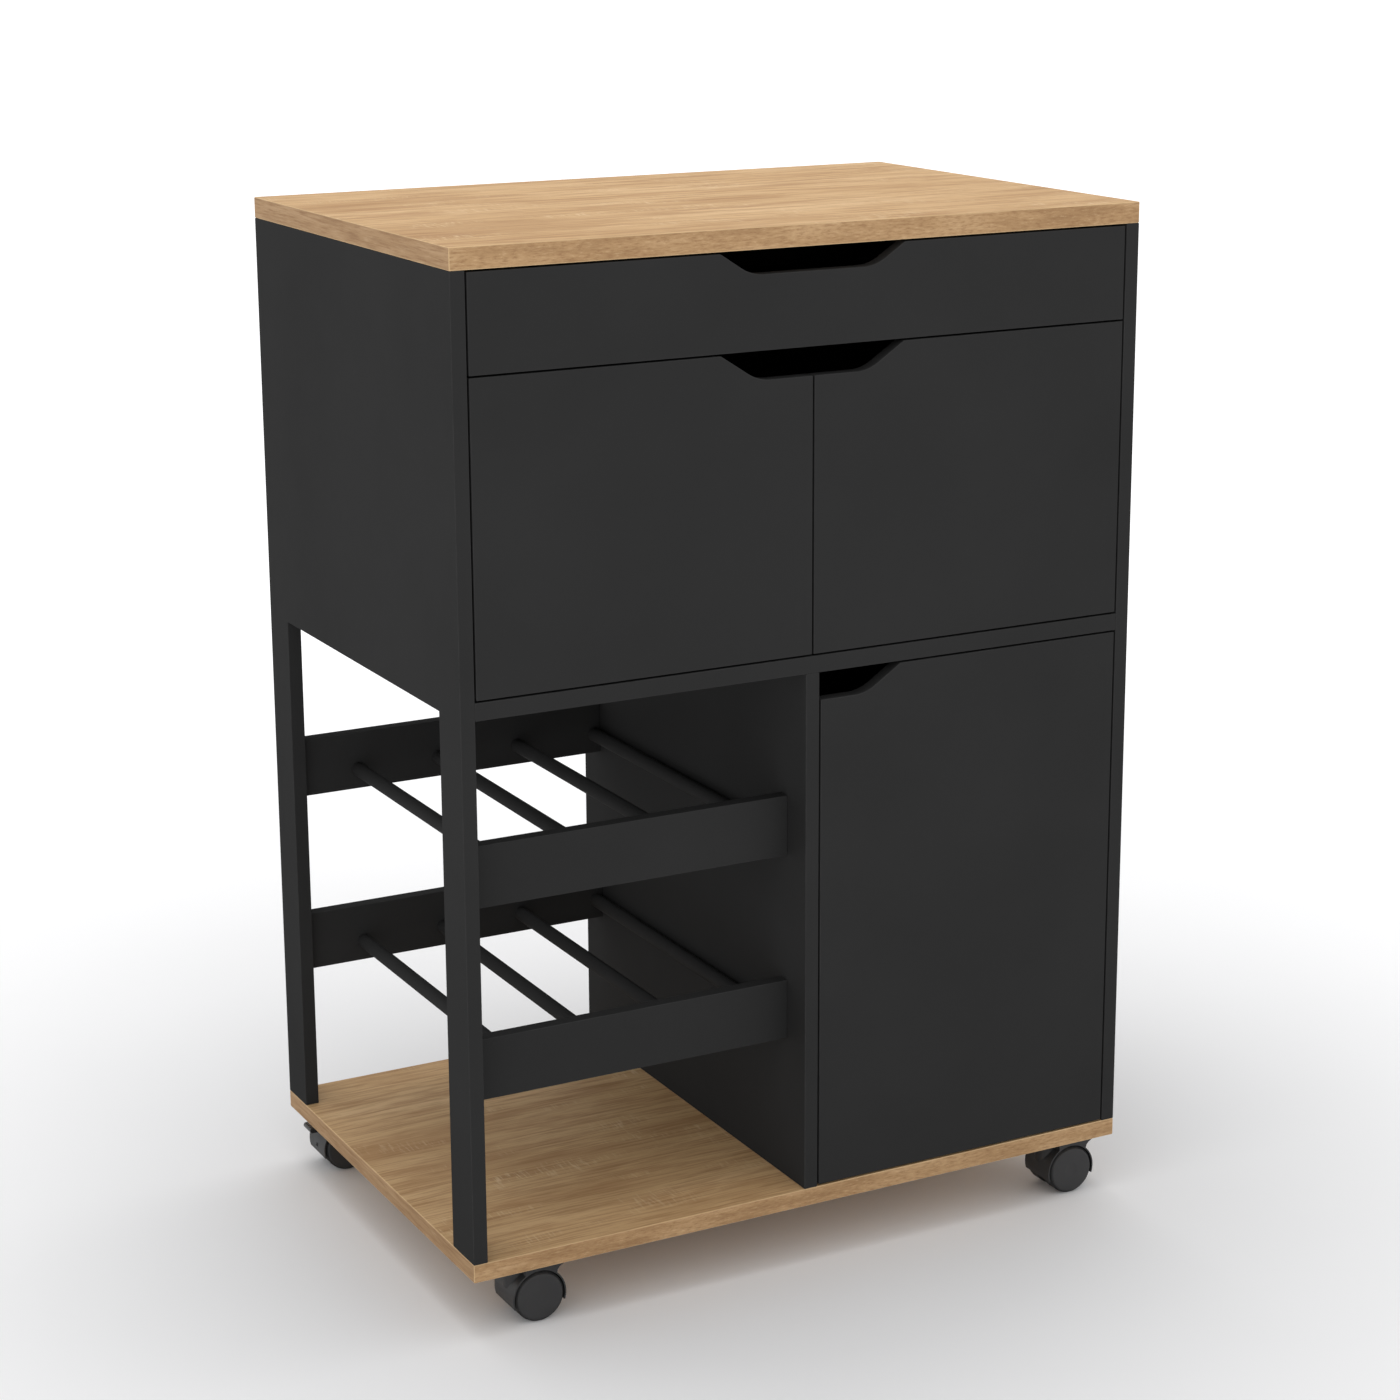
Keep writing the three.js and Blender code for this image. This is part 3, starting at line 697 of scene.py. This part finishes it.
def make_runners():
    """Both pairs of drawer channels, with three screws through each web."""
    for side, outward in (("left", -1), ("right", 1)):
        cabinet, drawer = f"cabinet_runner_{side}", f"drawer_runner_{side}"
        soften(cabinet, ZINC, METAL_ARRIS, 2)
        soften(drawer, ZINC, METAL_ARRIS, 2)
        for node, body, web_side in ((cabinet, "carcass", 1), (drawer, "drawer", -1)):
            low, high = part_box(node)
            web = high.x if outward * web_side > 0 else low.x
            face = web - outward * web_side * RUNNER_SCREW_FACE
            level = (low.z + high.z) / 2
            spots = [
                ((face, low.y + share * (high.y - low.y), level), (-outward * web_side, 0, 0))
                for share in RUNNER_SCREW_SHARES
            ]
            screws(f"{node}_screws", spots, RUNNER_SCREW_RADIUS, body)


# ---- Casters ---------------------------------------------------------------------------------


def make_wheel_pair(name, centre):
    """Two wheels on one axle, each with a soft tread, a flat disc and a hub boss inside."""
    tyre = WHEEL_RADIUS
    outer_half = [
        (AXLE_RADIUS, WHEEL_NEAR),
        (tyre * 0.30, WHEEL_NEAR),
        (tyre * 0.34, WHEEL_NEAR + 0.0015),
        (tyre * 0.80, WHEEL_NEAR + 0.0015),
        (tyre * 0.84, WHEEL_NEAR + 0.0002),
        (tyre - 0.0010, WHEEL_NEAR + 0.0002),
        (tyre - 0.0003, WHEEL_NEAR + 0.0007),
        (tyre, WHEEL_NEAR + 0.0016),
        (tyre, WHEEL_FAR - 0.0030),
        (tyre - 0.0003, WHEEL_FAR - 0.0018),
        (tyre - 0.0011, WHEEL_FAR - 0.0010),
        (tyre - 0.0014, WHEEL_FAR - 0.0012),
        (tyre - 0.0017, WHEEL_FAR - 0.0006),
        (tyre - 0.0024, WHEEL_FAR - 0.0001),
        (tyre - 0.0034, WHEEL_FAR),
        (tyre * 0.30, WHEEL_FAR - 0.0002),
        (tyre * 0.28, WHEEL_FAR - 0.0005),
        (0, WHEEL_FAR - 0.0005),
    ]
    profile = [(r, -y) for r, y in reversed(outer_half)] + outer_half
    steps = len(outer_half) - 1
    tread_from, tread_to = 4, 11
    half_materials = [1 if tread_from <= step < tread_to else 0 for step in range(steps)]
    work = lathe(profile, WHEEL_SEGMENTS, half_materials[::-1] + [0] + half_materials)
    work.verts.layers.float.new("wear_and_painted_highlight")
    work.transform(Matrix.Translation(centre) @ Matrix.Rotation(-math.pi / 2, 4, "X"))
    place_piece(f"{name}_wheels_look", work, WHEEL, f"{name}_wheels", f"{name}_wheels")


def make_plate_details(name, stem):
    """Caster plate with a screw in each corner."""
    node = f"{name}_plate"
    soften(node, ZINC, METAL_ARRIS * 2, 2)
    low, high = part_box(node)
    reach = (high.x - low.x) / 2 - PLATE_SCREW_INSET
    under = high.z - PLATE_SCREW_FACE
    spots = [
        ((stem.x + sx * reach, stem.y + sy * reach, under), (0, 0, -1))
        for sx in (-1, 1)
        for sy in (-1, 1)
    ]
    screws(f"{node}_screws", spots, PLATE_SCREW_RADIUS, "carcass")


def make_hood_plug(name, place, facing):
    """Dished plug in the trailing face of a braked caster's hood."""
    profile = [(0, -0.0004), (0.0009, -0.0002), (0.0012, 0.0005), (0.0017, 0.0005), (0.0020, -0.001)]
    work = lathe([*profile, (0, -0.001)], 24)
    work.verts.layers.float.new("wear_and_painted_highlight")
    turn = Vector((0, 0, 1)).rotation_difference(facing).to_matrix().to_4x4()
    work.transform(Matrix.Translation(place) @ turn)
    place_piece(f"{name}_hood_plug", work, GLOSSY_NYLON, f"{name}_swivel")


def make_caster(name):
    """One caster's plate, body and wheels, and its lever and plug where it has a brake."""
    swivel, roll = joints[f"{name}_swivel"], joints[f"{name}_roll"]
    stem, axle = Vector(swivel["pos_m"]), Vector(roll["pos_m"])
    make_plate_details(name, stem)
    soften(f"{name}_body", NYLON, NYLON_ARRIS, 2)
    make_wheel_pair(name, axle)
    if f"{name}_brake" in joints:
        soften(f"{name}_brake_lever", GLOSSY_NYLON, NYLON_ARRIS, 2)
        trailing = Vector((axle.x - stem.x, 0, 0)).normalized()
        make_hood_plug(name, axle + trailing * HOOD_RADIUS, trailing)


def make_casters():
    """The four casters, left and right in the front row and in the rear row."""
    for row in ("front", "rear"):
        for end in ("left", "right"):
            make_caster(f"{row}_{end}_caster")


# ---- Stage, lights and camera ----------------------------------------------------------------


def make_floor():
    """Pale paper that brightens away from the object."""
    bpy.ops.mesh.primitive_plane_add(size=FLOOR_SIZE, location=(0, 0, 0))
    floor = bpy.context.object
    floor.name = "floor"
    paper = Nodes("studio_paper")
    distance = paper.tree.nodes.new("ShaderNodeVectorMath")
    distance.operation = "LENGTH"
    paper.put(distance.inputs[0], paper.place)
    glow = paper.remap(distance.outputs["Value"], GLOW_FROM, GLOW_FULL, 0.0, GLOW_STRENGTH)
    paper.set(
        Base_Color=paper.ramp(
            paper.noise((1.5, 1.5, 1.5)),
            (0.3, srgb(236, 236, 237)),
            (0.7, srgb(240, 240, 241)),
        ),
        Roughness=0.85,
        Specular_IOR_Level=0.1,
        Emission_Color=(1.0, 1.0, 1.0, 1.0),
        Emission_Strength=glow,
    )
    floor.data.materials.append(paper.material)


def make_area_light(name, place, size, power):
    """Disk light that looks at the foot of the object."""
    data = bpy.data.lights.new(name, "AREA")
    data.shape = "DISK"
    data.size = size
    data.energy = power
    light = bpy.data.objects.new(name, data)
    light.location = place
    light.rotation_euler = (-Vector(place)).to_track_quat("-Z", "Y").to_euler()
    bpy.context.scene.collection.objects.link(light)


def make_lights():
    """White surroundings, dimmer towards the zenith, and one large light overhead."""
    world = bpy.data.worlds.new("studio")
    world.use_nodes = True
    tree = world.node_tree
    background = tree.nodes["Background"]
    background.inputs["Color"].default_value = (1.0, 1.0, 1.0, 1.0)
    direction = tree.nodes.new("ShaderNodeTexCoord")
    parts = tree.nodes.new("ShaderNodeSeparateXYZ")
    fade = tree.nodes.new("ShaderNodeMapRange")
    fade.inputs["From Min"].default_value = FADE_FROM
    fade.inputs["From Max"].default_value = FADE_TO
    fade.inputs["To Min"].default_value = HORIZON_STRENGTH
    fade.inputs["To Max"].default_value = ZENITH_STRENGTH
    tree.links.new(direction.outputs["Generated"], parts.inputs["Vector"])
    tree.links.new(parts.outputs["Z"], fade.inputs["Value"])
    tree.links.new(fade.outputs["Result"], background.inputs["Strength"])
    bpy.context.scene.world = world
    make_area_light("overhead", LIGHT_PLACE, LIGHT_SIZE, LIGHT_POWER)


def make_camera():
    """Camera in front of the cart and to its left, above worktop height."""
    yaw, pitch, roll = (math.radians(a) for a in (CAMERA_YAW, CAMERA_PITCH, CAMERA_ROLL))
    ahead = Vector((math.sin(yaw) * math.cos(pitch), math.cos(yaw) * math.cos(pitch), -math.sin(pitch)))
    level = Vector((math.cos(yaw), -math.sin(yaw), 0))
    upright = level.cross(ahead)
    right = math.cos(roll) * level + math.sin(roll) * upright
    up = math.cos(roll) * upright - math.sin(roll) * level
    data = bpy.data.cameras.new("camera")
    data.lens = CAMERA_FOCAL_WIDTHS * data.sensor_width
    data.shift_y = CAMERA_SHIFT
    camera = bpy.data.objects.new("camera", data)
    turn = Matrix((right, up, -ahead)).transposed().to_4x4()
    camera.matrix_world = Matrix.Translation(CAMERA_PLACE) @ turn
    bpy.context.scene.collection.objects.link(camera)
    bpy.context.scene.camera = camera


make_boards()
make_hinges()
make_runners()
make_casters()
make_floor()
make_lights()
make_camera()
bpy.context.scene.view_settings.view_transform = "Standard"
